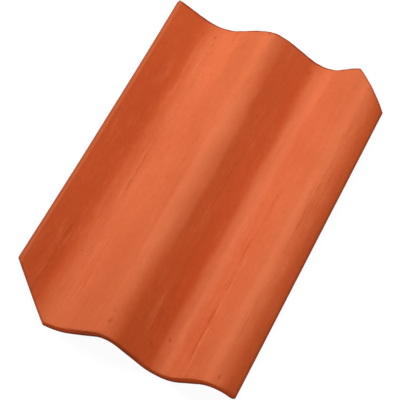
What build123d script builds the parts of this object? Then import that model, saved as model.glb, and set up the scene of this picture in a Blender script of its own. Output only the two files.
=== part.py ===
from build123d import *
import os
from math import asin, atan2, cos, degrees, hypot, radians, sin, sqrt, tan

# Clay roof tile: a wave section extruded to length, cut off at both ends, with two
# opposite corners splayed and two hanging nibs under the head. Sizes in mm.
# X runs across the tile, +Y up the roof from tail to head, +Z out of the weather face.

tile_length = 420.0  # tail to head
wall = 9.5  # thickness, square to the faces
wave_depth = 30.0  # crown of a roll above the bottom of a pan, on the weather face

# Steps across the section, on the weather face, from the upstand edge to the lip edge.
upstand_run = 52.8  # upstand edge to the bottom of the broad pan
broad_run = 69.0  # bottom of the broad pan to the crown of the middle roll
inner_run = 61.0  # crown of the middle roll to the bottom of the narrow pan
outer_run = 63.0  # bottom of the narrow pan to the crown of the side roll
lip_run = 24.2  # crown of the side roll to the lip edge

# Radii of the weather face. The underside runs parallel to it.
broad_pan_radius = 43.0
middle_roll_radius = 30.0
narrow_pan_radius = 28.5
side_roll_radius = 42.0
upstand_slope = 27.0  # degrees, the straight rise to the upstand edge
upstand_edge_radius = 2.0  # rounding of the two long edges of the upstand
lip_edge_radius = 4.0  # rounding of the two long edges of the lip

# Corners cut off so that four tiles meet in one thickness at a lap.
tail_splay_width = 49.4  # across the tile, at the upstand
tail_splay_length = 44.8
head_splay_width = 46.2  # across the tile, at the lip
head_splay_length = 45.3
splay_corner_radius = 5.0  # rounding in plan where a splay meets an end
arris_radius = 1.0  # softened edge of the cut ends and splays

# Hanging nibs, one under the bottom of each pan.
nib_width = 34.0
nib_length = 20.0  # along the tile, at the root
nib_depth = 12.0  # below the underside of the pan
nib_back_slope = 20.0  # degrees, lean of the face towards the head
nib_corner_radius = 4.0  # rounding of the upright corners
nib_edge_radius = 2.0  # rounding of the tip
nib_root_radius = 2.0  # hollow where the nib meets the pan
nib_setback = 12.0  # head end to the back of the nib, at the root


def flank_slope(run, pan_radius, roll_radius):
    """Slope in degrees of the straight flank that touches a pan and the roll next to it."""
    rise = wave_depth - pan_radius - roll_radius
    return degrees(atan2(rise, run) + asin((pan_radius + roll_radius) / hypot(run, rise)))


left_x = -(upstand_run + broad_run + inner_run + outer_run + lip_run) / 2
broad_x = left_x + upstand_run
middle_x = broad_x + broad_run
narrow_x = middle_x + inner_run
side_x = narrow_x + outer_run
right_x = side_x + lip_run

broad_slope = flank_slope(broad_run, broad_pan_radius, middle_roll_radius)
inner_slope = flank_slope(inner_run, narrow_pan_radius, middle_roll_radius)
outer_slope = flank_slope(outer_run, narrow_pan_radius, side_roll_radius)
lip_slope = degrees(asin(lip_run / side_roll_radius))
upstand_angle = radians(upstand_slope)
upstand_length = (upstand_run - broad_pan_radius * sin(upstand_angle)) / cos(upstand_angle)


def wave(depth):
    """Line of the section at a depth below the weather face, from upstand to lip."""
    broad_pan = CenterArc(
        (broad_x, broad_pan_radius),
        broad_pan_radius + depth,
        270 - upstand_slope,
        upstand_slope + broad_slope,
    )
    middle_roll = CenterArc(
        (middle_x, wave_depth - middle_roll_radius),
        middle_roll_radius - depth,
        90 + broad_slope,
        -broad_slope - inner_slope,
    )
    narrow_pan = CenterArc(
        (narrow_x, narrow_pan_radius),
        narrow_pan_radius + depth,
        270 - inner_slope,
        inner_slope + outer_slope,
    )
    side_roll = CenterArc(
        (side_x, wave_depth - side_roll_radius),
        side_roll_radius - depth,
        90 + outer_slope,
        -outer_slope - lip_slope,
    )
    return [
        PolarLine(broad_pan @ 0, upstand_length, 180 - upstand_slope),
        broad_pan,
        Line(broad_pan @ 1, middle_roll @ 0),
        middle_roll,
        Line(middle_roll @ 1, narrow_pan @ 0),
        narrow_pan,
        Line(narrow_pan @ 1, side_roll @ 0),
        side_roll,
    ]


# Section, with its long edges rounded by the die.
weather_line = wave(0)
under_line = wave(wall)
upstand_end = Line(weather_line[0] @ 1, under_line[0] @ 1)
lip_end = Line(weather_line[-1] @ 1, under_line[-1] @ 1)
section = make_face([*weather_line, lip_end, *under_line, upstand_end])
section = fillet(section.vertices().sort_by(Axis.X)[:2], upstand_edge_radius)
section = fillet(section.vertices().sort_by(Axis.X)[-2:], lip_edge_radius)

# Length, cut square at both ends.
tail_y = -tile_length / 2
head_y = tile_length / 2
tile = extrude(Plane.XZ.offset(-head_y) * section, tile_length)

# Splayed corners: tail at the upstand, head at the lip.
tail_splay = Plane(
    (left_x + tail_splay_width, tail_y, 0),
    z_dir=(tail_splay_length, tail_splay_width, 0),
)
head_splay = Plane(
    (right_x - head_splay_width, head_y, 0),
    z_dir=(-head_splay_length, -head_splay_width, 0),
)
tile = split(tile, bisect_by=tail_splay, keep=Keep.TOP)
tile = split(tile, bisect_by=head_splay, keep=Keep.TOP)
tile = fillet(tile.edges().filter_by(Axis.Z), splay_corner_radius)

# Arrises of everything that the wire cut, along both faces and round the long edges.
cut_faces = tile.faces().filter_by(lambda f: abs(f.normal_at().Z) < 1e-6)
corner_lines = tile.edges().filter_by(Axis.Z)
arrises = [e for f in cut_faces for e in f.edges() if e not in corner_lines]
tile = fillet(arrises, arris_radius)

# Hanging nibs. The face towards the tail is square, to catch on a batten.
nib_face_y = head_y - nib_setback - nib_length
nib_tip_z = -wall - nib_depth
nib_lean = tan(radians(nib_back_slope))
for pan_x, pan_radius in ((broad_x, broad_pan_radius), (narrow_x, narrow_pan_radius)):
    under_radius = pan_radius + wall
    sagitta = under_radius - sqrt(under_radius**2 - (nib_width / 2) ** 2)
    root_height = nib_depth + sagitta + wall / 4
    profile = Polyline(
        (nib_face_y, nib_tip_z + root_height),
        (nib_face_y, nib_tip_z),
        (nib_face_y + nib_length - nib_depth * nib_lean, nib_tip_z),
        (nib_face_y + nib_length + (root_height - nib_depth) * nib_lean, nib_tip_z + root_height),
        close=True,
    )
    nib = extrude(Plane.YZ.offset(pan_x) * make_face(profile), nib_width / 2, both=True)
    nib = fillet(nib.edges().filter_by(lambda e: abs((e % 0.5).Z) > 0.5), nib_corner_radius)
    nib = fillet(nib.edges().group_by(Axis.Z)[0], nib_edge_radius)
    plain = tile
    tile = plain + nib
    tile = fillet(new_edges(plain, nib, combined=tile), nib_root_radius)

# Lying on a floor, the tile bears on the tail arris of both pans and on both nibs.
bearing_run = nib_face_y + nib_edge_radius - tail_y - arris_radius
bearing_drop = nib_depth - nib_edge_radius + arris_radius
radius_step = nib_edge_radius - arris_radius
bearing_span = hypot(bearing_run, bearing_drop)
rest_tilt = degrees(asin(radius_step / bearing_span) + atan2(bearing_drop, bearing_run))
tile = Rot(X=rest_tilt) * tile
box = tile.bounding_box()
tile = Pos(-box.center().X, -box.center().Y, -box.min.Z) * tile

os.makedirs("parts", exist_ok=True)
export_step(tile, "parts/roof_tile.step")
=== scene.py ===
from math import asin, atan2, cos, exp, hypot, pi, radians, sin, sqrt, tan

import bmesh
import bpy
from bpy.props import FloatProperty, FloatVectorProperty, PointerProperty
from mathutils import Matrix, Vector, noise


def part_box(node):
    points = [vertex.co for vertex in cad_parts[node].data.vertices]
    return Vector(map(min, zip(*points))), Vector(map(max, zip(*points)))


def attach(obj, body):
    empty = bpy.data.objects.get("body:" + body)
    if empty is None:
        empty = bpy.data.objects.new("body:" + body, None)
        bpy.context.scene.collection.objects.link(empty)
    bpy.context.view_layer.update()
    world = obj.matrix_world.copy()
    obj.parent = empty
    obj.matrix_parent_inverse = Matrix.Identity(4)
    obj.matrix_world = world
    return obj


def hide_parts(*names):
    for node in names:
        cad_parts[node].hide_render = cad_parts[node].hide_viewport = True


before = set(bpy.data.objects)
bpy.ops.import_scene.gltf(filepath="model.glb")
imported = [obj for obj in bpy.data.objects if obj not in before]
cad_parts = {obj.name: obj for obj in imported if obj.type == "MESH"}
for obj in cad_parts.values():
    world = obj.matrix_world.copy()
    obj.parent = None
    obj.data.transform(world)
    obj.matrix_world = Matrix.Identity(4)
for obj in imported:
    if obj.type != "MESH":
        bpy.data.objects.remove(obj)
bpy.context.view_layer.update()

bl_info = {
    "name": "Clay roof tile",
    "version": (1, 0, 0),
    "blender": (4, 5, 0),
    "location": "3D View > Sidebar > Roof tile",
    "description": "Builds a fired clay wave tile on its stage",
    "category": "Object",
}

MM = 0.001
FIT_SLACK = 0.01 * MM
DEPTH = "depth"  # mesh attribute: the way through the wall


def length(name, description, default):
    """A size in metres that a user would change."""
    return FloatProperty(name=name, description=description, default=default, unit="LENGTH", precision=4)


def angle(name, description, degrees_):
    """An angle that a user would change, written in degrees."""
    return FloatProperty(name=name, description=description, default=radians(degrees_), unit="ROTATION")


def amount(name, description, default, unit="NONE"):
    """A plain number that a user would change."""
    return FloatProperty(name=name, description=description, default=default, min=0.0, unit=unit)


def colour(name, description, default):
    """A linear colour that a user would change."""
    return FloatVectorProperty(
        name=name, description=description, default=default, subtype="COLOR", size=3, min=0.0, max=1.0
    )


class TileShape(bpy.types.PropertyGroup):
    """Sizes of the tile: the section from upstand to lip, the cuts and the nibs."""

    tile_length: length("Length", "Tail to head", 0.420)
    wall: length("Wall", "Thickness square to the faces", 0.0095)
    wave_depth: length("Wave depth", "Crown of a roll above the bottom of a pan", 0.030)
    upstand_run: length("Upstand run", "Upstand edge to the bottom of the broad pan", 0.0528)
    broad_run: length("Broad run", "Broad pan to the crown of the middle roll", 0.069)
    inner_run: length("Inner run", "Middle roll to the bottom of the narrow pan", 0.061)
    outer_run: length("Outer run", "Narrow pan to the crown of the side roll", 0.063)
    lip_run: length("Lip run", "Crown of the side roll to the lip edge", 0.0242)
    broad_pan_radius: length("Broad pan radius", "Hollow of the broad pan", 0.043)
    middle_roll_radius: length("Middle roll radius", "Round of the middle roll", 0.030)
    narrow_pan_radius: length("Narrow pan radius", "Hollow of the narrow pan", 0.0285)
    side_roll_radius: length("Side roll radius", "Round of the side roll", 0.042)
    upstand_slope: angle("Upstand slope", "Straight rise to the upstand edge", 27.0)
    upstand_edge: length("Upstand edge", "Rounding of the upstand's long edges", 0.002)
    lip_edge: length("Lip edge", "Rounding of the lip's long edges", 0.004)
    tail_splay_width: length("Tail splay width", "Across the tile, at the upstand", 0.0494)
    tail_splay_length: length("Tail splay length", "Along the tile, at the upstand", 0.0448)
    head_splay_width: length("Head splay width", "Across the tile, at the lip", 0.0462)
    head_splay_length: length("Head splay length", "Along the tile, at the lip", 0.0453)
    arris: length("Arris", "Rounding of the cut ends and splays", 0.001)
    nib_width: length("Nib width", "Across the tile", 0.034)
    nib_length: length("Nib length", "Along the tile, at the root", 0.020)
    nib_depth: length("Nib depth", "Below the underside of a pan", 0.012)
    nib_setback: length("Nib setback", "Head end to the back of a nib", 0.012)
    nib_back_slope: angle("Nib back slope", "Lean of a nib's back", 20.0)
    nib_round: length("Nib rounding", "Rounding of a nib's edges", 0.002)
    hollow: length("Hollow", "Bend inwards of the upstand edge at mid length", 0.00127)
    drift: length("Drift", "Sideways lean of the rolls over half the length", 0.00173)
    middle_slump: length("Middle slump", "Drop of the middle roll at the head and rise at the tail", 0.0028)
    side_slump: length("Side slump", "Drop of the side roll at the head and rise at the tail", 0.0015)
    swell: length("Swell", "Slow rise and fall of the faces", 0.00035)
    ripple: length("Ripple", "Quick rise and fall of the faces", 0.00026)
    wear: length("Wear", "Rounding by wear of the weather face's cut arrises", 0.0008)
    step_across: length("Step across", "Mesh step across the section", 0.0020)
    step_along: length("Step along", "Mesh step along the length", 0.0045)


class ClayFinish(bpy.types.PropertyGroup):
    """Colours and wear of the fired clay."""

    body: colour("Body", "Main colour of the fired face", (0.715, 0.160, 0.058))
    # Pale: also painted light in the pale bands and a painted highlight beside the upstand edge.
    pale: colour("Pale", "Dry, dusty places and rubbed edges", (0.82, 0.214, 0.090))
    # Deep: also painted shade towards the upstand edge, the tail and on the lip's fall.
    deep: colour("Deep", "Harder fired, darker places", (0.50, 0.068, 0.016))
    # Shade tint: painted shade, the redder colour of flanks that face away from the key lamp and of the
    # lip's fall; also the head end's colour.
    shade_tint: colour("Flashed", "Faces that the kiln's flame reached less", (0.690, 0.112, 0.029))
    cut: colour("Cut", "Tail end and splay that the wire cut", (0.86, 0.105, 0.014))
    # Painted shade: dark lines along the edges, the tail end's foot and under its middle roll; also the
    # dark bands.
    dark_tone_and_shade: colour("Scorched", "Thin arrises that fired hardest", (0.30, 0.045, 0.012))
    gloss: amount("Gloss", "Strength of the faint sheen", 0.03)


class TileStage(bpy.types.PropertyGroup):
    """Camera and studio light."""

    azimuth: angle("Camera azimuth", "Turn of the camera about the vertical", 24.922)
    elevation: angle("Camera elevation", "Height angle of the camera", 57.101)
    roll: angle("Camera roll", "Turn of the camera about its own axis", 1.21)
    distance: length("Camera distance", "Camera to the point it looks at", 1.6380)
    lens: amount("Lens", "Focal length in mm on a 36 mm sensor", 139.30, "CAMERA")
    target: FloatVectorProperty(
        name="Target",
        description="Point that the camera looks at",
        default=(0.00373, -0.01748, 0.0302),
        unit="LENGTH",
    )
    key_power: amount("Key power", "Watts of the lamp at the upstand side", 15.75, "POWER")
    top_power: amount("Top power", "Watts of the lamp overhead", 15.0, "POWER")
    front_power: amount("Front power", "Watts of the low lamp at the tail", 3.4, "POWER")
    sky: amount("Sky", "Strength of the even light from all round", 0.08)


FEWEST_FOLD_STEPS = 4
EDGE_STRIP = 1.2  # width of the strip beside a long edge, in roundings of that edge
LONG_EDGE_STEPS = 4
ARRIS_STEPS = 3
SIDE_FACING = 0.7  # sideways part of the normal, above which a face is one of the long sides
UPRIGHT = 0.01  # upward part of the normal, below which a face is a cut
SHARP = radians(20)  # angle between faces, above which an edge is an arris
END_ROWS = (2.2, 3.6, 5.5, 8.0, 11.0, 14.5)  # rows of the mesh near an end, in mm from it


def tangent_flank(run, pan_radius, roll_radius, depth):
    """Slope and length of the straight flank that touches a pan and the roll next to it."""
    rise = depth - pan_radius - roll_radius
    reach = hypot(run, rise)
    slope = atan2(rise, run) + asin((pan_radius + roll_radius) / reach)
    return slope, sqrt(reach**2 - (pan_radius + roll_radius) ** 2)


def verts_of(geom):
    return [g for g in geom if isinstance(g, bmesh.types.BMVert)]


def edges_of(geom):
    return [g for g in geom if isinstance(g, bmesh.types.BMEdge)]


def whole(bm):
    return bm.verts[:] + bm.edges[:] + bm.faces[:]


class WaveLine:
    """The weather face's line across the tile, laid flank by flank and fold by fold."""

    def __init__(self, bm, start, step):
        self.bm = bm
        self.end = bm.verts.new(start)
        self.step = step

    def flank(self, run, slope):
        """Goes straight on, at a slope."""
        out = bmesh.ops.extrude_vert_indiv(self.bm, verts=[self.end])
        self.end = out["verts"][0]
        bmesh.ops.translate(self.bm, verts=[self.end], vec=(run * cos(slope), 0.0, run * sin(slope)))

    def fold(self, centre_x, centre_z, radius, turn, steps=None):
        """Goes on round a fold; a positive turn bends down, as over a roll."""
        steps = steps or max(FEWEST_FOLD_STEPS, round(radius * abs(turn) / self.step))
        centre, axis = (centre_x, 0.0, centre_z), (0.0, 1.0, 0.0)
        out = bmesh.ops.spin(self.bm, geom=[self.end], cent=centre, axis=axis, angle=turn, steps=steps)
        self.end = verts_of(out["geom_last"])[0]

    def divide(self):
        """Divides the straight flanks, once the line is whole."""
        for edge in self.bm.edges[:]:
            cuts = round(edge.calc_length() / self.step) - 1
            if cuts > 0:
                bmesh.ops.subdivide_edges(self.bm, edges=[edge], cuts=cuts)
        self.end = max(self.bm.verts, key=lambda v: v.co.x)


def section_places(s):
    """Places across the tile of the upstand edge, the folds and the lip edge."""
    left = -(s.upstand_run + s.broad_run + s.inner_run + s.outer_run + s.lip_run) / 2
    broad = left + s.upstand_run
    middle = broad + s.broad_run
    narrow = middle + s.inner_run
    side = narrow + s.outer_run
    return left, broad, middle, narrow, side, side + s.lip_run


def lay_section(bm, s):
    """Lays the whole weather line, at the tail."""
    left, broad, middle, narrow, side, _ = section_places(s)
    up = s.upstand_slope
    up_length = (s.upstand_run - s.broad_pan_radius * sin(up)) / cos(up)
    tip_z = s.broad_pan_radius * (1 - cos(up)) + up_length * sin(up)
    depth, roll = s.wave_depth, s.middle_roll_radius
    first, first_length = tangent_flank(s.broad_run, s.broad_pan_radius, roll, depth)
    second, second_length = tangent_flank(s.inner_run, s.narrow_pan_radius, roll, depth)
    third, third_length = tangent_flank(s.outer_run, s.narrow_pan_radius, s.side_roll_radius, depth)
    lip = asin(s.lip_run / s.side_roll_radius)
    line = WaveLine(bm, (left, -s.tile_length / 2, tip_z), s.step_across)
    edge_run = EDGE_STRIP * s.upstand_edge
    line.flank(edge_run, -up)
    line.flank(up_length - edge_run, -up)
    line.fold(broad, s.broad_pan_radius, s.broad_pan_radius, -(up + first))
    line.flank(first_length, first)
    line.fold(middle, depth - roll, roll, first + second)
    line.flank(second_length, -second)
    line.fold(narrow, s.narrow_pan_radius, s.narrow_pan_radius, -(second + third))
    line.flank(third_length, third)
    lip_turn = EDGE_STRIP * s.lip_edge / s.side_roll_radius
    side_z = depth - s.side_roll_radius
    line.fold(side, side_z, s.side_roll_radius, third + lip - lip_turn)
    line.divide()
    line.fold(side, side_z, s.side_roll_radius, lip_turn, steps=1)


def bevel(bm, edges, offset, segments):
    """Rounds some edges."""
    bmesh.ops.bevel(
        bm,
        geom=list(edges),
        offset=offset,
        offset_type="OFFSET",
        segments=segments,
        profile=0.5,
        affect="EDGES",
        clamp_overlap=True,
        material=-1,
    )


def round_long_edges(bm, s):
    """Rounds the long edges of the upstand and of the lip."""
    for sign, offset in ((-1, s.upstand_edge), (1, s.lip_edge)):
        bm.normal_update()
        rim = [f for f in bm.faces if sign * f.normal.x > SIDE_FACING]
        long_edges = {e for f in rim for e in f.edges if e.calc_length() > s.tile_length / 2}
        bevel(bm, long_edges, offset, LONG_EDGE_STEPS)


def cut_planes(s):
    """Places and outward directions of the tail end, the head end and the two splays."""
    left, *_, right = section_places(s)
    half = s.tile_length / 2
    return (
        (Vector((0.0, -half, 0.0)), Vector((0.0, -1.0, 0.0))),
        (Vector((0.0, half, 0.0)), Vector((0.0, 1.0, 0.0))),
        (
            Vector((left + s.tail_splay_width, -half, 0.0)),
            Vector((-s.tail_splay_length, -s.tail_splay_width, 0.0)).normalized(),
        ),
        (
            Vector((right - s.head_splay_width, half, 0.0)),
            Vector((s.head_splay_length, s.head_splay_width, 0.0)).normalized(),
        ),
    )


def cut_splays(bm, s):
    """Cuts the two splayed corners off and closes the cuts."""
    for place, outward in cut_planes(s)[2:]:
        plane = {"plane_co": place, "plane_no": outward}
        out = bmesh.ops.bisect_plane(bm, geom=whole(bm), clear_outer=True, **plane)
        bmesh.ops.edgeloop_fill(bm, edges=edges_of(out["geom_cut"]))


def soften_arrises(bm, s):
    """Rounds every edge round the cut ends and splays."""
    bm.normal_update()
    cut = {f for f in bm.faces if abs(f.normal.z) < UPRIGHT}
    arrises = {e for f in cut for e in f.edges if e.calc_face_angle(0.0) > SHARP}
    bevel(bm, arrises, s.arris, ARRIS_STEPS)


def divide_length(bm, s):
    """Cuts rows across the tile, closer together near the ends."""
    half = s.tile_length / 2
    near_ends = [half - d * MM for d in END_ROWS]
    count = round(2 * (near_ends[-1] - s.step_along) / s.step_along)
    rows = [near_ends[-1] * (2 * i / count - 1) for i in range(1, count)]
    for y in [*rows, *near_ends, *(-y for y in near_ends)]:
        bmesh.ops.bisect_plane(bm, geom=whole(bm), plane_co=(0.0, y, 0.0), plane_no=(0.0, 1.0, 0.0))


def tile_mesh(s):
    """The tile in its own axes: X across, Y up the roof, Z out of the weather face."""
    bm = bmesh.new()
    lay_section(bm, s)
    out = bmesh.ops.extrude_edge_only(bm, edges=bm.edges[:])
    bmesh.ops.translate(bm, verts=verts_of(out["geom"]), vec=(0.0, s.tile_length, 0.0))
    bmesh.ops.recalc_face_normals(bm, faces=bm.faces[:])
    if sum(f.normal.z for f in bm.faces) < 0:
        bmesh.ops.reverse_faces(bm, faces=bm.faces[:])
    bmesh.ops.solidify(bm, geom=bm.faces[:], thickness=s.wall)
    bmesh.ops.recalc_face_normals(bm, faces=bm.faces[:])
    round_long_edges(bm, s)
    cut_splays(bm, s)
    soften_arrises(bm, s)
    divide_length(bm, s)
    mark_depth(bm)
    wear_arrises(bm, s)
    warp_in_kiln(bm, s)
    uneven(bm, s)
    return bm


def mark_depth(bm):
    """Marks the way through the wall, from 0 on the weather face to 1 on the underside."""
    bm.normal_update()
    depth = bm.verts.layers.float.new(DEPTH)
    for v in bm.verts:
        v[depth] = 1.0 if v.normal.z < 0 else 0.0


NO_DRIFT = 0.56  # place along, in half lengths from the middle, where the rolls don't lean
SLUMP_REACH = 30 * MM  # half width of the slump of a roll


def warp_in_kiln(bm, s):
    """Bends the tile as drying and firing do: the upstand edge hollows, and the rolls lean and slump."""
    left, _, middle, _, side, right = section_places(s)
    for v in bm.verts:
        along = 2 * v.co.y / s.tile_length
        share = (v.co.x - left) / (right - left)
        bend = s.hollow * (1 - share) * (1 - along**2)
        lean = s.drift * (NO_DRIFT - along) * sin(pi * share) ** 2
        for roll, slump in ((middle, s.middle_slump), (side, s.side_slump)):
            v.co.z -= slump * along * exp(-(((v.co.x - roll) / SLUMP_REACH) ** 2))
        v.co.x += bend + lean


WORN_FACING = 0.05  # upward part of the normal, above which a face wears
WEAR_REACH = 3.0  # how far from a cut the wear goes, in depths of wear
MEAN_RUB = 0.75  # shares of the wear
LEAST_RUB = 0.1
# Noises that make the wear uneven: size in mm, seed and share.
RUB_NOISES = ((14.0, 3.5, 1.0), (5.0, 9.5, 0.7))
# Places at the tail that are rubbed more, or less, in mm: place across, width, share of the wear.
TAIL_RUBS = ((58.0, 16.0, 0.4), (20.0, 14.0, -0.6))
# Noises of the faces: size across and along in mm, and seed.
SWELL_NOISE = (24.0, 70.0, 0.5)
RIPPLE_NOISE = (10.0, 22.0, 7.5)


def noise_at(place, across, along, seed):
    """Noise from about -1 to 1 at a place, with its size in mm across and along the tile."""
    return noise.noise((place.x / MM / across, place.y / MM / along, seed))


def wear_arrises(bm, s):
    """Rubs the weather face down unevenly beside its cuts."""
    bm.normal_update()
    planes = cut_planes(s)
    for v in bm.verts:
        if v.normal.z < WORN_FACING:
            continue
        gap = min((place - v.co).dot(outward) for place, outward in planes)
        reach = max(0.0, 1 - gap / (WEAR_REACH * s.wear)) ** 2
        rub = MEAN_RUB + sum(share * noise_at(v.co, size, size, seed) for size, seed, share in RUB_NOISES)
        if v.co.y < 0:
            x = v.co.x / MM
            rub += sum(extra * exp(-(((x - at) / width) ** 2)) for at, width, extra in TAIL_RUBS)
        v.co.z -= s.wear * reach * max(LEAST_RUB, rub)


def uneven(bm, s):
    """Lets the faces rise and fall a little, more slowly along the tile than across, as the die pulls."""
    for v in bm.verts:
        v.co.z += s.swell * noise_at(v.co, *SWELL_NOISE) + s.ripple * noise_at(v.co, *RIPPLE_NOISE)


NIB_ROOT = 1 / 3  # share of the wall that a nib's root reaches into
NIB_CORNER = 2.0  # rounding of a nib's upright corners, in roundings of its tip
NIB_CORNER_STEPS = 4
NIB_TIP_STEPS = 3
TIP_SLACK = 0.1 * MM


def add_nib(bm, s, pan_x):
    """Stands a hanging nib under a pan: a block with a square face to the tail and a leaning back."""
    face_y = s.tile_length / 2 - s.nib_setback - s.nib_length
    tip_z = -s.wall - s.nib_depth
    root_z = -s.wall * NIB_ROOT
    height = root_z - tip_z
    out = bmesh.ops.create_cube(bm, size=1.0)
    verts = verts_of(out["verts"])
    bmesh.ops.scale(bm, verts=verts, vec=(s.nib_width, s.nib_length, height))
    bmesh.ops.translate(bm, verts=verts, vec=(pan_x, face_y + s.nib_length / 2, tip_z + height / 2))
    lean = tan(s.nib_back_slope)
    back = [v for v in verts if v.co.y > face_y + s.nib_length / 2]
    for v in back:
        v.co.y += (v.co.z + s.wall) * lean
    edges = {e for v in verts for e in v.link_edges}
    upright = {e for e in edges if abs(e.verts[0].co.z - e.verts[1].co.z) > height / 2}
    bevel(bm, upright, NIB_CORNER * s.nib_round, NIB_CORNER_STEPS)
    faces = {f for f in bm.faces if f.calc_center_median().z < tip_z + TIP_SLACK}
    bevel(bm, {e for f in faces for e in f.edges}, s.nib_round, NIB_TIP_STEPS)


def rest_tilt(s):
    """Tilt of the tile as it lies on the tail arris of its pans and on its nibs."""
    run = s.tile_length - s.nib_setback - s.nib_length + s.nib_round - s.arris
    drop = s.nib_depth - s.nib_round + s.arris
    return asin((s.nib_round - s.arris) / hypot(run, drop)) + atan2(drop, run)


def place_on_floor(bm, s):
    """Turns the tile to its rest tilt, fits it into the CAD box and gives the way back to its own axes."""
    low, high = (Vector(corner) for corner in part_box("roof_tile"))
    turn = Matrix.Rotation(rest_tilt(s), 4, "X")
    bmesh.ops.transform(bm, matrix=turn, verts=bm.verts[:])
    lows = Vector([min(v.co[i] for v in bm.verts) for i in range(3)])
    highs = Vector([max(v.co[i] for v in bm.verts) for i in range(3)])
    fit = Vector([min(1.0, (high[i] - low[i] - FIT_SLACK) / (highs[i] - lows[i])) for i in range(3)])
    foot = Vector(((lows.x + highs.x) / 2, (lows.y + highs.y) / 2, lows.z))
    floor = Vector(((low.x + high.x) / 2, (low.y + high.y) / 2, low.z + FIT_SLACK / 2))
    bmesh.ops.translate(bm, verts=bm.verts[:], vec=-foot)
    bmesh.ops.scale(bm, verts=bm.verts[:], vec=fit)
    bmesh.ops.translate(bm, verts=bm.verts[:], vec=floor)
    moved = Matrix.Translation(floor - foot) @ turn
    return moved.inverted()


NOISE_ROUGHNESS = 0.55
MIX_FACTOR, MIX_FIRST, MIX_SECOND, MIX_COLOUR = 0, 6, 7, 2  # the Mix node's sockets for colours


class ShaderTree:
    """Adds nodes to a node tree. What a node reads is a socket to link or a value to set."""

    def __init__(self, tree):
        self.tree = tree

    def add(self, kind, reads=(), **settings):
        node = self.tree.nodes.new("ShaderNode" + kind)
        for name, value in settings.items():
            setattr(node, name, value)
        for key, value in dict(reads).items():
            self.feed(node.inputs[key], value)
        return node

    def feed(self, socket, value):
        if isinstance(value, bpy.types.NodeSocket):
            self.tree.links.new(value, socket)
        else:
            socket.default_value = value

    def group(self, tree, reads):
        return self.add("Group", reads, node_tree=tree).outputs

    def math(self, operation, *values):
        return self.add("Math", dict(enumerate(values)), operation=operation).outputs[0]

    def step(self, value, low, high, to_low=0.0, to_high=1.0):
        """A smooth step of a value between two levels."""
        levels = {"Value": value, "From Min": low, "From Max": high, "To Min": to_low, "To Max": to_high}
        return self.add("MapRange", levels, interpolation_type="SMOOTHSTEP").outputs[0]

    def fade(self, value, start, full, share):
        """A share that a value brings in between two levels."""
        return self.step(value, start, full, 0.0, share)

    def noise(self, place, across, along, detail, shift):
        """Noise from 0 to 1 with a grain in mm across and along the tile; the shift sets noises apart."""
        scale = (1 / across, 1 / along, 1 / across)
        moved = self.add("Mapping", {"Vector": place, "Scale": scale, "Location": (shift, shift, shift)})
        reads = {"Vector": moved.outputs[0], "Scale": 1.0, "Detail": detail, "Roughness": NOISE_ROUGHNESS}
        return self.add("TexNoise", reads).outputs["Fac"]

    def blend(self, factor, first, second):
        """Mixes two colours; a factor of 1 gives the second."""
        reads = {MIX_FACTOR: factor, MIX_FIRST: self.paint(first), MIX_SECOND: self.paint(second)}
        return self.add("Mix", reads, data_type="RGBA").outputs[MIX_COLOUR]

    def paint(self, value):
        return value if isinstance(value, bpy.types.NodeSocket) else (*value, 1.0)

    def seen_ray(self):
        """1 for rays that show the background: straight, mirrored or through glass."""
        rays = self.add("LightPath").outputs
        straight_or_mirrored = self.math("MAXIMUM", rays["Is Camera Ray"], rays["Is Glossy Ray"])
        return self.math("MAXIMUM", straight_or_mirrored, rays["Is Transmission Ray"])


def node_group(name, inputs, outputs):
    """A new node group with number sockets, its tree and the sockets of its input node."""
    group = bpy.data.node_groups.new(name, "ShaderNodeTree")
    for socket in inputs:
        group.interface.new_socket(socket, in_out="INPUT", socket_type="NodeSocketFloat")
    for socket in outputs:
        group.interface.new_socket(socket, in_out="OUTPUT", socket_type="NodeSocketFloat")
    return group, ShaderTree(group), group.nodes.new("NodeGroupInput").outputs


def drag_line_group():
    """Masks of a line that the die drew along the tile and of the zone about it; the ends fade out."""
    names = ("Across", "Along", "Place", "Start", "End", "Half width", "Edge", "Zone", "Fade")
    group, t, reads = node_group("drag_line", names, ("Line", "Zone"))
    across, along, place, start, end, half_width, edge, zone, fade = (reads[name] for name in names)
    aside = t.math("ABSOLUTE", t.math("SUBTRACT", across, place))
    entry = t.step(along, start, t.math("ADD", start, fade))
    leave = t.step(along, end, t.math("SUBTRACT", end, fade))
    ahead = t.math("MULTIPLY", entry, leave)
    outputs = group.nodes.new("NodeGroupOutput").inputs
    core = t.math("SUBTRACT", half_width, edge)
    t.feed(outputs["Line"], t.math("MULTIPLY", t.step(aside, half_width, core), ahead))
    t.feed(outputs["Zone"], t.math("MULTIPLY", t.step(aside, zone, 0.0), ahead))
    return group


SPECK_WIDTH = 0.6  # in lengths of a speck


def speck_group():
    """Mask of one speck or nick, a little longer along the tile than across."""
    names = ("Across", "Along", "X", "Y", "Size", "Rag")
    group, t, reads = node_group("speck", names, ("Mask",))
    across, along, x, y, size, rag = (reads[name] for name in names)
    aside = t.math("SUBTRACT", across, x)
    ahead = t.math("MULTIPLY", t.math("SUBTRACT", along, y), SPECK_WIDTH)
    reach = t.math("SQRT", t.math("ADD", t.math("POWER", aside, 2.0), t.math("POWER", ahead, 2.0)))
    mask = t.step(t.math("ADD", reach, rag), size, 0.0)
    t.feed(group.nodes.new("NodeGroupOutput").inputs[0], mask)
    return group


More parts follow.
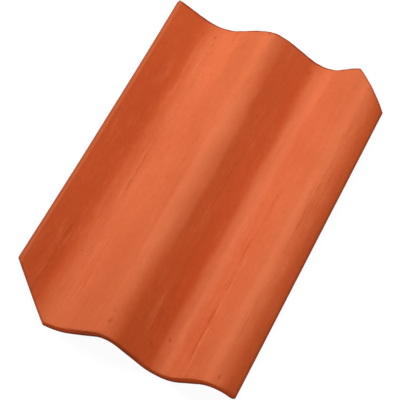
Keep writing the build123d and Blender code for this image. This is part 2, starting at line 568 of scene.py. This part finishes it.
# Lines that the die drew, in mm: place across, start and end along, half width, and lift, which is
# pale above 0 and deep below.
DRAG_LINES = (
    (-94.0, 110.0, 215.0, 1.8, 0.5),
    (-90.5, 85.0, 160.0, 1.8, -0.55),
    (-83.5, -55.0, 180.0, 2.0, 0.6),
    (-80.0, -60.0, 70.0, 2.0, -0.68),
    (-73.5, -215.0, -95.0, 3.2, 0.75),
    (-66.5, -190.0, -85.0, 2.2, -0.4),
    (-108.5, -205.0, -82.0, 2.4, -1.25),
    (14.8, -85.0, 30.0, 1.5, 0.65),
    (16.8, -40.0, 130.0, 1.3, -0.4),
    (24.0, -205.0, -80.0, 3.0, -0.4),
    (45.0, -15.0, 165.0, 3.6, 0.5),
    (51.0, -215.0, 20.0, 3.0, 0.65),
    (71.8, -52.0, 42.0, 2.2, -0.9),
    (77.5, -44.0, 38.0, 1.7, 0.5),
    (71.8, -200.0, -70.0, 1.9, -0.9),
    (74.6, -225.0, -48.0, 1.8, 1.3),
    (110.5, -80.0, 140.0, 2.4, -0.5),
    (107.5, -165.0, -95.0, 1.9, 0.6),
    (120.5, -40.0, 165.0, 2.6, 0.4),
    (69.5, -210.0, -30.0, 5.0, -0.4),
)
LINE_ZONE = 11.0  # half width of the streaky zone about a line, in mm
LINE_FADE = 24.0  # length over which a line's end fades, in mm

# Bands along the crowns and flanks, in mm: place across, start and end along, half width, width over
# which a side fades, and share of pale (above 0) or of dark (below 0). They are partly the clay's tone
# and partly painted light and painted shade, such as the darker flanks near the head.
BANDS = (
    (-25.0, -20.0, 250.0, 8.0, 8.0, 0.12),
    (-18.0, -250.0, 250.0, 9.0, 8.0, 0.10),
    (-10.5, -120.0, 120.0, 16.0, 5.0, 0.23),
    (0.0, -110.0, 100.0, 8.0, 8.0, 0.07),
    (14.0, -80.0, 290.0, 20.0, 8.0, 0.05),
    (47.5, -225.0, 210.0, 13.0, 8.0, 0.30),
    (54.0, -250.0, 250.0, 8.5, 8.0, 0.12),
    (102.0, -225.0, 80.0, 7.5, 7.0, 0.27),
    (102.0, -250.0, 250.0, 8.5, 5.0, 0.12),
    (-66.0, 20.0, 225.0, 16.0, 8.0, 0.14),
    (-76.0, -250.0, 20.0, 9.0, 8.0, 0.12),
    (-46.0, -250.0, -40.0, 14.0, 8.0, -0.05),
    (82.0, 110.0, 290.0, 24.0, 8.0, -0.13),
    (-38.0, 90.0, 290.0, 16.0, 8.0, -0.10),
    (-9.0, 150.0, 300.0, 11.0, 8.0, -0.20),
    (113.0, 120.0, 300.0, 10.0, 8.0, -0.10),
    (124.5, -250.0, 250.0, 15.5, 2.5, -0.05),
)
BAND_FADE = 50.0  # length over which a band's end fades, in mm

# Specks and nicks, in mm: place across and along, size.
SPECKS = (
    (-82.0, 193.0, 2.6),
    (-80.0, 181.5, 1.8),
    (-20.5, 206.5, 2.6),
    (35.5, 193.0, 2.3),
    (11.5, 103.0, 1.8),
    (-79.0, -110.5, 1.7),
    (-87.0, -119.0, 1.6),
    (-13.0, -192.5, 3.3),
    (-14.0, -180.0, 1.8),
    (29.5, -187.5, 3.2),
    (43.0, -172.5, 2.8),
    (111.5, -201.0, 3.0),
)


# Noises of the clay: grain across and along in mm, detail, and shift.
GRAIN = (3.8, 5.2, 3.0, 0.0)
RAG = (1.0, 1.6, 2.0, 0.0)
MOTTLE = (70.0, 120.0, 2.0, 67.0)
LINE_BREAKS = (8.0, 14.0, 2.0, 53.0)
SLOW_WANDER = (50.0, 34.0, 2.0, 41.0)
QUICK_WANDER = (12.0, 9.0, 1.0, 47.0)
BROAD_STREAK = (10.0, 170.0, 2.0, 0.0)
BLOTCH = (11.0, 26.0, 3.0, 17.0)
MIDDLE_STREAK = (3.4, 60.0, 3.0, 7.0)
FINE_STREAK = (1.2, 26.0, 3.0, 13.0)

NOISE_RANGE = (0.2, 0.8)  # levels between which a noise swings fully
BROAD_SWING, BLOTCH_SWING, MIDDLE_SWING, FINE_SWING = 0.6, 0.7, 1.1, 0.5
SLOW_SWAY, QUICK_SWAY = 4.0, 1.6  # mm from side to side
BREAK_LEVELS = (0.3, 0.6, 0.4, 1.0)  # levels of the breaks, and what is left of a line there
ZONE_LEVELS = (0.0, 1.0, 0.3, 0.9)  # levels of the zones, and the share of fine streaks there
RAG_SIZE, RAG_MEAN = 3.6, -1.5  # mm by which the edge of a speck is ragged
EDGE_RAG = 0.3  # the same on the tile's edges, as a share of a speck's

# Paints and masks: the level where they start, the level where they are full, and their share there.
# By the normal of the face:
WEATHER_FACE = (0.1, 0.4, 1.0)
TAIL_CUT = (-0.45, -0.85, 0.85)
HEAD_CUT = (0.75, 0.92, 0.85)
# Painted shade: flanks that face away from the key lamp take the shade tint.
FLANK_SHADE_TINT = (0.0, 0.55, 1.0)
# Painted shade at the head on flanks that face away from the key lamp.
AWAY_FACING_FLANK = (0.05, 0.3, 1.0)
# By the place in mm:
# Painted shade: darker towards the upstand edge, less so towards the head, and darker towards the tail.
UPSTAND_SHADE = (-94.0, -106.0, 0.34)
UPSTAND_SHADE_ALONG = (20.0, 200.0, 1.0, 0.55)
TAIL_SHADE = (100.0, -210.0, 0.16)
# By the distance from an edge in mm:
# Painted shade on the lip's fall: the shade tint, then darker, more so towards the head.
LIP_SHADE_TINT = (26.0, 14.0, 0.3)
LIP_SHADE = (19.0, 9.0, 1.0)
LIP_SHADE_ALONG = (-150.0, 100.0, 0.10, 0.19)
# Painted shade as dark lines along the edges, and on the flanks at the head.
LIP_EDGE_SHADE = (3.8, 1.8, 0.25)
# A painted highlight beside the upstand edge.
UPSTAND_HIGHLIGHT = (4.5, 2.3, 0.5)
UPSTAND_EDGE_SHADE = (2.2, 0.7, 0.6)
SPLAY_EDGE_SHADE = (2.8, 1.2, 0.5)
HEAD_EDGE_SHADE = (3.0, 1.4, 0.8)
HEAD_FLANK_SHADE = (3.8, 2.0, 0.4)
# By a noise, or by the lift of streaks and lines:
MOTTLE_DEEP = (0.4, 0.75, 0.25)
LIFT_PALE = (0.0, 1.0, 0.55)
LIFT_DEEP = (0.0, -1.0, 0.55)
GRAIN_PALE = (0.5, 0.8, 0.13)
GRAIN_DEEP = (0.5, 0.2, 0.17)
# By the way through the wall, and by the distance in mm from a place under the middle roll: painted shade
# on the tail end, darker towards its foot and under the middle roll.
FOOT_SHADE = (0.35, 0.9, 1.0)
ROLL_SHADE = (46.0, 24.0, 0.42)
ROLL_SHADE_AT = -10.0

STREAK_LIFT, LINE_LIFT = 0.42, 0.8
SPECK_SHARE = 0.75
ROUGHNESS = (-1.0, 1.0, 0.80, 0.70)  # levels of the streaks, and the roughness there
STREAK_RELIEF, LINE_RELIEF, GRAIN_RELIEF, SPECK_RELIEF = 0.25, 0.3, 0.35, -2.0
BUMP_STRENGTH = 0.6
BUMP_HEIGHT = 0.1 * MM


class ClayTexture:
    """What the clay's colour, sheen and relief are made of, in the tile's own axes in mm."""

    def __init__(self, tree, s, to_tile):
        self.t = t = ShaderTree(tree)
        coordinates = t.add("TexCoord")
        turn = {"Vector": coordinates.outputs["Object"], "Scale": (1 / MM,) * 3}
        turn["Rotation"] = to_tile.to_euler()
        turn["Location"] = to_tile.translation / MM
        self.place = t.add("Mapping", turn).outputs[0]
        self.across, self.along, self.through = t.add("SeparateXYZ", {0: self.place}).outputs
        self.facing_x, facing_y, facing_z = t.add("SeparateXYZ", {0: coordinates.outputs["Normal"]}).outputs
        self.weather = t.fade(facing_z, *WEATHER_FACE)
        self.tail_cut = t.fade(facing_y, *TAIL_CUT)
        self.head_cut = t.fade(facing_y, *HEAD_CUT)
        self.depth = t.add("Attribute", attribute_name=DEPTH).outputs["Fac"]
        self.grain = t.noise(self.place, *GRAIN)
        self.rag = t.math("MULTIPLY_ADD", t.noise(self.place, *RAG), RAG_SIZE, RAG_MEAN)
        _, head, *splays = cut_planes(s)
        edge_rag = t.math("MULTIPLY", self.rag, EDGE_RAG)
        self.from_head = t.math("ADD", self.distance_from_cuts([head]), edge_rag)
        self.from_splay = t.math("ADD", self.distance_from_cuts(splays), edge_rag)
        self.from_upstand = self.distance_from_upstand(s)
        self.from_lip = t.math("SUBTRACT", section_places(s)[-1] / MM, self.across)
        self.drawn = self.wander()
        self.line_group = drag_line_group()
        self.lines, self.zones = self.drag_lines()
        self.streaks = self.streak_noise()
        self.pale_bands, self.dark_bands_and_shade = self.bands()
        self.nicks = self.specks()

    def distance_from_cuts(self, planes):
        """Distance in mm from the nearest of some cuts."""
        t = self.t
        nearest = None
        for place, outward in planes:
            reads = {0: self.place, 1: -outward}
            ahead = t.add("VectorMath", reads, operation="DOT_PRODUCT").outputs["Value"]
            gap = t.math("ADD", ahead, place.dot(outward) / MM)
            nearest = t.math("MINIMUM", nearest, gap) if nearest else gap
        return nearest

    def distance_from_upstand(self, s):
        """Distance in mm from the upstand edge, which bends inwards at mid length."""
        t = self.t
        share = t.math("POWER", t.math("DIVIDE", self.along, s.tile_length / 2 / MM), 2.0)
        bend = t.math("MULTIPLY_ADD", share, -s.hollow / MM, s.hollow / MM + section_places(s)[0] / MM)
        return t.math("SUBTRACT", self.across, bend)

    def wander(self):
        """The place, moved a little from side to side as lines along the tile wander."""
        t = self.t
        slow, quick = t.noise(self.place, *SLOW_WANDER), t.noise(self.place, *QUICK_WANDER)
        quick_sway = t.math("MULTIPLY_ADD", quick, QUICK_SWAY, -(SLOW_SWAY + QUICK_SWAY) / 2)
        self.aside = t.math("ADD", self.across, t.math("MULTIPLY_ADD", slow, SLOW_SWAY, quick_sway))
        return t.add("CombineXYZ", {0: self.aside, 1: self.along, 2: self.through}).outputs[0]

    def swing(self, kind, size):
        """One of the noises drawn along the tile, from minus to plus a size."""
        return self.t.step(self.t.noise(self.drawn, *kind), *NOISE_RANGE, -size, size)

    def streak_noise(self):
        """Soft bands and blotches, and finer streaks in the zones of the lines, from about -1 to 1."""
        t = self.t
        soft = t.math("ADD", self.swing(BROAD_STREAK, BROAD_SWING), self.swing(BLOTCH, BLOTCH_SWING))
        fine = t.math("ADD", self.swing(MIDDLE_STREAK, MIDDLE_SWING), self.swing(FINE_STREAK, FINE_SWING))
        return t.math("MULTIPLY_ADD", fine, self.zones, soft)

    def drag_lines(self):
        """The lines that stand out, and the zones about them that are streaky."""
        t = self.t
        total, zones = 0.0, 0.0
        for *row, half_width, lift in DRAG_LINES:
            line = self.line(*row, half_width, half_width, LINE_FADE)
            total = t.math("MULTIPLY_ADD", line["Line"], lift, total)
            zones = t.math("ADD", line["Zone"], zones)
        left = t.step(t.noise(self.place, *LINE_BREAKS), *BREAK_LEVELS)
        lines = t.math("MULTIPLY", t.math("MULTIPLY", total, left), self.weather)
        return lines, t.step(zones, *ZONE_LEVELS)

    def line(self, place, start, end, half_width, edge, fade):
        """The masks of one line or band, whose sides fade over an edge and whose ends over a length."""
        reads = {"Across": self.aside, "Along": self.along, "Place": place, "Start": start, "End": end}
        reads.update({"Half width": half_width, "Edge": edge, "Zone": LINE_ZONE, "Fade": fade})
        return self.t.group(self.line_group, reads)

    def bands(self):
        """The shares of pale and of dark in the bands, which paint the clay's tone and also light and
        shade.
        """
        t = self.t
        pale, dark_tone_and_shade = 0.0, 0.0
        for *row, share in BANDS:
            mask = self.line(*row, BAND_FADE)["Line"]
            if share > 0:
                pale = t.math("MULTIPLY_ADD", mask, share, pale)
            else:
                dark_tone_and_shade = t.math("MULTIPLY_ADD", mask, -share, dark_tone_and_shade)
        return t.math("MULTIPLY", pale, self.weather), t.math("MULTIPLY", dark_tone_and_shade, self.weather)

    def specks(self):
        """Dark nicks at their places."""
        t = self.t
        group = speck_group()
        total = 0.0
        for x, y, size in SPECKS:
            reads = {"Across": self.across, "Along": self.along, "Rag": self.rag}
            reads.update({"X": x, "Y": y, "Size": size})
            total = t.math("ADD", t.group(group, reads)["Mask"], total)
        return t.math("MULTIPLY", t.math("MINIMUM", total, 1.0), self.weather)


def fired_faces(clay, c):
    """The body, with painted shade: a redder tint on the flanks that face away from the key lamp and on the
    lip's fall, and darker towards the upstand and the tail.
    """
    t = clay.t
    # Painted shade: a redder tint on flanks that face away from the key lamp, and on the lip's fall.
    paint = t.blend(t.fade(clay.facing_x, *FLANK_SHADE_TINT), c.body, c.shade_tint)
    paint = t.blend(t.fade(clay.from_lip, *LIP_SHADE_TINT), paint, c.shade_tint)
    # Painted shade: darker towards the upstand edge and towards the tail.
    shade = t.fade(clay.across, *UPSTAND_SHADE)
    shade = t.math("MULTIPLY", shade, t.step(clay.along, *UPSTAND_SHADE_ALONG))
    paint = t.blend(shade, paint, c.deep)
    paint = t.blend(t.fade(clay.along, *TAIL_SHADE), paint, c.deep)
    return t.blend(t.fade(t.noise(clay.place, *MOTTLE), *MOTTLE_DEEP), paint, c.deep)


def drawn_marks(clay, c, paint):
    """The streaks and lines along the tile, the grain, the bands and the specks."""
    t = clay.t
    lift = t.math("MULTIPLY_ADD", clay.streaks, STREAK_LIFT, t.math("MULTIPLY", clay.lines, LINE_LIFT))
    paint = t.blend(t.fade(lift, *LIFT_PALE), paint, c.pale)
    paint = t.blend(t.fade(lift, *LIFT_DEEP), paint, c.deep)
    paint = t.blend(t.fade(clay.grain, *GRAIN_PALE), paint, c.pale)
    paint = t.blend(t.fade(clay.grain, *GRAIN_DEEP), paint, c.deep)
    # The bands: the clay's pale and dark tone, partly painted light and painted shade.
    paint = t.blend(clay.pale_bands, paint, c.pale)
    paint = t.blend(clay.dark_bands_and_shade, paint, c.dark_tone_and_shade)
    return t.blend(t.math("MULTIPLY", clay.nicks, SPECK_SHARE), paint, c.deep)


def edge_light_and_shade(clay, c, paint):
    """The edges of the weather face, in painted shade and light: dark lines of shade at the cuts and the
    lip, darker on the flanks at the head, a painted highlight beside the upstand and shade on the lip's
    fall.
    """
    t = clay.t
    # Painted shade: dark lines along the splays and the head, darker on flanks that face away from the key
    # lamp.
    paint = t.blend(t.fade(clay.from_splay, *SPLAY_EDGE_SHADE), paint, c.dark_tone_and_shade)
    flank_edge_shade = t.fade(clay.from_head, *HEAD_FLANK_SHADE)
    flank_edge_shade = t.math("MULTIPLY", flank_edge_shade, t.fade(clay.facing_x, *AWAY_FACING_FLANK))
    paint = t.blend(flank_edge_shade, paint, c.dark_tone_and_shade)
    paint = t.blend(t.fade(clay.from_head, *HEAD_EDGE_SHADE), paint, c.dark_tone_and_shade)
    # A painted highlight beside the upstand edge, then a dark painted line of shade along it.
    paint = t.blend(t.fade(clay.from_upstand, *UPSTAND_HIGHLIGHT), paint, c.pale)
    paint = t.blend(t.fade(clay.from_upstand, *UPSTAND_EDGE_SHADE), paint, c.dark_tone_and_shade)
    # Painted shade on the lip's fall, stronger towards the head, then a dark painted line of shade along
    # the lip edge.
    lip = t.math("MULTIPLY", t.fade(clay.from_lip, *LIP_SHADE), t.step(clay.along, *LIP_SHADE_ALONG))
    paint = t.blend(lip, paint, c.deep)
    return t.blend(t.fade(clay.from_lip, *LIP_EDGE_SHADE), paint, c.dark_tone_and_shade)


def cut_ends(clay, c, paint):
    """The end faces: the tail's has painted shade, darker towards its foot and under the middle roll; the
    head's takes the shade tint.
    """
    t = clay.t
    # Painted shade on the tail end: darker towards its foot and under the middle roll.
    from_roll = t.math("ABSOLUTE", t.math("SUBTRACT", clay.across, ROLL_SHADE_AT))
    dark_tone_and_shade = t.math("ADD", t.fade(clay.depth, *FOOT_SHADE), t.fade(from_roll, *ROLL_SHADE))
    tail = t.blend(t.math("MINIMUM", dark_tone_and_shade, 1.0), c.cut, c.dark_tone_and_shade)
    paint = t.blend(clay.tail_cut, paint, tail)
    return t.blend(clay.head_cut, paint, c.shade_tint)


def clay_relief(clay):
    """Normals with the fine relief of streaks, lines, grain and specks."""
    t = clay.t
    height = t.math("MULTIPLY", clay.grain, GRAIN_RELIEF)
    height = t.math("MULTIPLY_ADD", clay.streaks, STREAK_RELIEF, height)
    height = t.math("MULTIPLY_ADD", clay.lines, LINE_RELIEF, height)
    height = t.math("MULTIPLY_ADD", clay.nicks, SPECK_RELIEF, height)
    reads = {"Height": height, "Strength": BUMP_STRENGTH, "Distance": BUMP_HEIGHT}
    return t.add("Bump", reads).outputs[0]


def clay_material(c, s, to_tile):
    """Matte fired clay, with streaks along the length, mottling, nicks and darker cut ends, and painted
    shade and light on the flanks, edges and ends.
    """
    mat = bpy.data.materials.new("fired_clay")
    mat.use_nodes = True
    shader = mat.node_tree.nodes["Principled BSDF"]
    clay = ClayTexture(mat.node_tree, s, to_tile)
    paint = fired_faces(clay, c)
    paint = drawn_marks(clay, c, paint)
    paint = edge_light_and_shade(clay, c, paint)
    paint = cut_ends(clay, c, paint)
    t = clay.t
    t.feed(shader.inputs["Base Color"], paint)
    t.feed(shader.inputs["Specular IOR Level"], c.gloss)
    t.feed(shader.inputs["Roughness"], t.step(clay.streaks, *ROUGHNESS))
    t.feed(shader.inputs["Normal"], clay_relief(clay))
    return mat


class ROOFTILE_OT_fired_tile(bpy.types.Operator):
    """Builds the fired clay tile with its wave, splays and nibs"""

    bl_idname = "rooftile.fired_tile"
    bl_label = "Fired tile"

    def execute(self, context):
        s = context.scene.tile_shape
        bm = tile_mesh(s)
        _, broad, _, narrow, _, _ = section_places(s)
        for pan_x in (broad, narrow):
            add_nib(bm, s, pan_x)
        if not all(e.is_manifold for e in bm.edges):
            raise RuntimeError("the tile's mesh isn't closed")
        to_tile = place_on_floor(bm, s)
        for f in bm.faces:
            f.smooth = True
        mesh = bpy.data.meshes.new("fired_tile")
        bm.to_mesh(mesh)
        bm.free()
        tile = bpy.data.objects.new("fired_tile", mesh)
        context.scene.collection.objects.link(tile)
        mesh.materials.append(clay_material(context.scene.clay_finish, s, to_tile))
        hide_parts("roof_tile")
        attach(tile, "root")
        return {"FINISHED"}


LAMP_REACH = 1.6  # metres from the tile
LAMP_AIM = Vector((0.0, 0.0, 0.03))
# Lamps: name, azimuth and elevation in degrees, and side in metres.
KEY_LAMP = ("key_lamp", 138.0, 34.0, 1.0)
TOP_LAMP = ("top_lamp", 50.0, 78.0, 0.8)
FRONT_LAMP = ("front_lamp", 240.0, 18.0, 0.7)

FLOOR_REACH = 6.0  # metres from the middle to an edge
FLOOR_GREY = (0.5, 0.5, 0.5, 1.0)
FLOOR_ROUGHNESS = 0.9
SHADOW_GREY = (0.11, 0.11, 0.11, 1.0)
FLOOR_GLOW = 0.95
WHITE = (1.0, 1.0, 1.0, 1.0)
SENSOR_WIDTH = 36.0  # mm


def add_lamp(name, azimuth, elevation, size, power):
    """A square soft lamp that looks at the tile, from an azimuth and an elevation in degrees."""
    lamp = bpy.data.lights.new(name, "AREA")
    lamp.shape = "SQUARE"
    lamp.size = size
    lamp.energy = power
    obj = bpy.data.objects.new(name, lamp)
    bpy.context.scene.collection.objects.link(obj)
    turn, rise = radians(azimuth), radians(elevation)
    away = Vector((cos(turn) * cos(rise), sin(turn) * cos(rise), sin(rise)))
    obj.location = LAMP_AIM + LAMP_REACH * away
    obj.rotation_euler = (-away).to_track_quat("-Z", "Y").to_euler()


class ROOFTILE_OT_stage(bpy.types.Operator):
    """Sets the pale floor, the soft studio light and the camera"""

    bl_idname = "rooftile.stage"
    bl_label = "Stage"

    def execute(self, context):
        scene = context.scene
        st = scene.tile_stage
        scene.view_settings.view_transform = "Standard"
        bm = bmesh.new()
        bmesh.ops.create_grid(bm, x_segments=1, y_segments=1, size=FLOOR_REACH)
        mesh = bpy.data.meshes.new("floor")
        bm.to_mesh(mesh)
        bm.free()
        floor = bpy.data.objects.new("floor", mesh)
        scene.collection.objects.link(floor)
        mesh.materials.append(self.floor_material())
        scene.world = self.studio_world(st)
        add_lamp(*KEY_LAMP, st.key_power)
        add_lamp(*TOP_LAMP, st.top_power)
        add_lamp(*FRONT_LAMP, st.front_power)
        self.camera(scene, st)
        return {"FINISHED"}

    def floor_material(self):
        """Pale floor that the camera sees as white, with the tile's shadow faint on it."""
        mat = bpy.data.materials.new("floor_white")
        mat.use_nodes = True
        plain = mat.node_tree.nodes["Principled BSDF"]
        plain.inputs["Base Color"].default_value = FLOOR_GREY
        plain.inputs["Roughness"].default_value = FLOOR_ROUGHNESS
        t = ShaderTree(mat.node_tree)
        shade = t.add("BsdfDiffuse", {"Color": SHADOW_GREY})
        glow = t.add("Emission", {"Strength": FLOOR_GLOW})
        seen = t.add("AddShader", {0: shade.outputs[0], 1: glow.outputs[0]})
        mix = t.add("MixShader", {0: t.seen_ray(), 1: plain.outputs[0], 2: seen.outputs[0]})
        t.feed(mat.node_tree.nodes["Material Output"].inputs["Surface"], mix.outputs[0])
        return mat

    def studio_world(self, st):
        """Even soft light, seen as white by the camera."""
        world = bpy.data.worlds.new("studio")
        world.use_nodes = True
        t = ShaderTree(world.node_tree)
        soft = world.node_tree.nodes["Background"]
        soft.inputs["Color"].default_value = WHITE
        soft.inputs["Strength"].default_value = st.sky
        white = t.add("Background", {"Color": WHITE, "Strength": 1.0})
        mix = t.add("MixShader", {0: t.seen_ray(), 1: soft.outputs[0], 2: white.outputs[0]})
        t.feed(world.node_tree.nodes["World Output"].inputs["Surface"], mix.outputs[0])
        return world

    def camera(self, scene, st):
        """A camera that looks at the target from an azimuth, an elevation and a distance."""
        cam = bpy.data.cameras.new("camera")
        cam.sensor_fit = "HORIZONTAL"
        cam.sensor_width = SENSOR_WIDTH
        cam.lens = st.lens
        obj = bpy.data.objects.new("camera", cam)
        scene.collection.objects.link(obj)
        level = cos(st.elevation)
        back = Vector((sin(st.azimuth) * level, -cos(st.azimuth) * level, sin(st.elevation)))
        turn = (-back).to_track_quat("-Z", "Y").to_matrix() @ Matrix.Rotation(st.roll, 3, "Z")
        obj.matrix_world = Matrix.Translation(Vector(st.target) + st.distance * back) @ turn.to_4x4()
        scene.camera = obj


class ROOFTILE_PT_panel(bpy.types.Panel):
    """Lists the tile's pieces, sizes and stage"""

    bl_label = "Roof tile"
    bl_idname = "ROOFTILE_PT_panel"
    bl_space_type = "VIEW_3D"
    bl_region_type = "UI"
    bl_category = "Roof tile"

    def draw(self, context):
        layout = self.layout
        for operator, group in (
            ("rooftile.fired_tile", context.scene.tile_shape),
            ("", context.scene.clay_finish),
            ("rooftile.stage", context.scene.tile_stage),
        ):
            if operator:
                layout.operator(operator)
            for name in group.__annotations__:
                layout.prop(group, name)


CLASSES = (
    TileShape,
    ClayFinish,
    TileStage,
    ROOFTILE_OT_fired_tile,
    ROOFTILE_OT_stage,
    ROOFTILE_PT_panel,
)
GROUPS = {"tile_shape": TileShape, "clay_finish": ClayFinish, "tile_stage": TileStage}


def register():
    for cls in CLASSES:
        bpy.utils.register_class(cls)
    for name, cls in GROUPS.items():
        setattr(bpy.types.Scene, name, PointerProperty(type=cls))


def unregister():
    for name in GROUPS:
        delattr(bpy.types.Scene, name)
    for cls in reversed(CLASSES):
        bpy.utils.unregister_class(cls)


def main():
    """Builds the tile and its stage."""
    register()
    bpy.ops.rooftile.fired_tile()
    bpy.ops.rooftile.stage()


if __name__ == "__main__":
    main()
